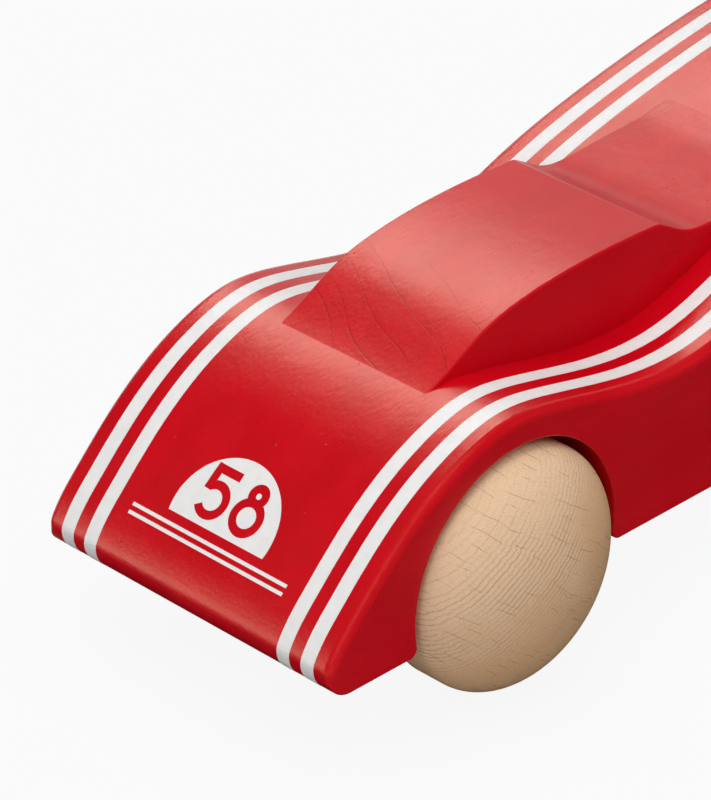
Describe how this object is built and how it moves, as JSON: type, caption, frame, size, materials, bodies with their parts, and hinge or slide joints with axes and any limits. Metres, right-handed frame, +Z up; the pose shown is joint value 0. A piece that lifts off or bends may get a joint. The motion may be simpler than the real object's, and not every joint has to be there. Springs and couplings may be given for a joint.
{
  "type": "pull back car",
  "caption": "Wooden pull back racing car: painted slab body with wedge nose and raised cockpit, domed beech wheels and a geared spring motor on the rear axle.",
  "frame": {"origin": "on the floor, under the middle of the car's length and width", "axes": "+X forward, to the nose; +Y to the car's left; +Z up"},
  "size_m": [0.153, 0.0632, 0.0489],
  "materials": {
    "painted_beech": "satin red lacquer over beech, with white printed stripes",
    "natural_beech": "turned and sanded, clear oiled",
    "axle_steel": "drawn bright bar",
    "nylon": "moulded natural nylon",
    "brass": "cut teeth, bright",
    "gear_plastic": "moulded acetal",
    "spring_steel": "blued strip",
    "case_plastic": "moulded black ABS, fine spark texture",
    "zinc_steel": "zinc plated"
  },
  "bodies": {
    "car": {"body": "painted_beech", "front_bush_left": "nylon", "front_bush_right": "nylon", "motor_case_base": "case_plastic", "motor_case_cover": "case_plastic", "transfer_pin": "axle_steel", "spring_arbor": "axle_steel", "case_screws": "zinc_steel", "motor_screws": "zinc_steel"},
    "front_wheels": {"front_axle": "axle_steel", "wheel_front_left": "natural_beech", "wheel_front_right": "natural_beech"},
    "rear_wheels": {"rear_axle": "axle_steel", "wheel_rear_left": "natural_beech", "wheel_rear_right": "natural_beech", "rear_spacer_left": "nylon", "rear_spacer_right": "nylon", "axle_gear": "brass"},
    "transfer_gear": {"transfer_gear": "gear_plastic"},
    "spring_barrel": {"spring_barrel": "gear_plastic", "barrel_lid": "gear_plastic", "mainspring": "spring_steel"}
  },
  "joints": [
    {"name": "front_wheels_spin", "type": "hinge", "parent": "car", "child": "front_wheels", "pos_m": [0.0443, 0, 0.0164], "axis": [0, 1, 0], "continuous": true},
    {"name": "rear_wheels_spin", "type": "hinge", "parent": "car", "child": "rear_wheels", "pos_m": [-0.0416, 0, 0.0164], "axis": [0, 1, 0], "continuous": true},
    {"name": "transfer_gear_spin", "type": "hinge", "parent": "car", "child": "transfer_gear", "pos_m": [-0.0377, 0, 0.02517], "axis": [0, 1, 0], "continuous": true},
    {"name": "spring_barrel_spin", "type": "hinge", "parent": "car", "child": "spring_barrel", "pos_m": [-0.02668, 0, 0.02222], "axis": [0, 1, 0], "continuous": true, "deforming": ["mainspring"]}
  ],
  "couplings": [
    {"joint": "transfer_gear_spin", "follows": "rear_wheels_spin", "ratio": -0.45455},
    {"joint": "spring_barrel_spin", "follows": "rear_wheels_spin", "ratio": 0.16234}
  ]
}
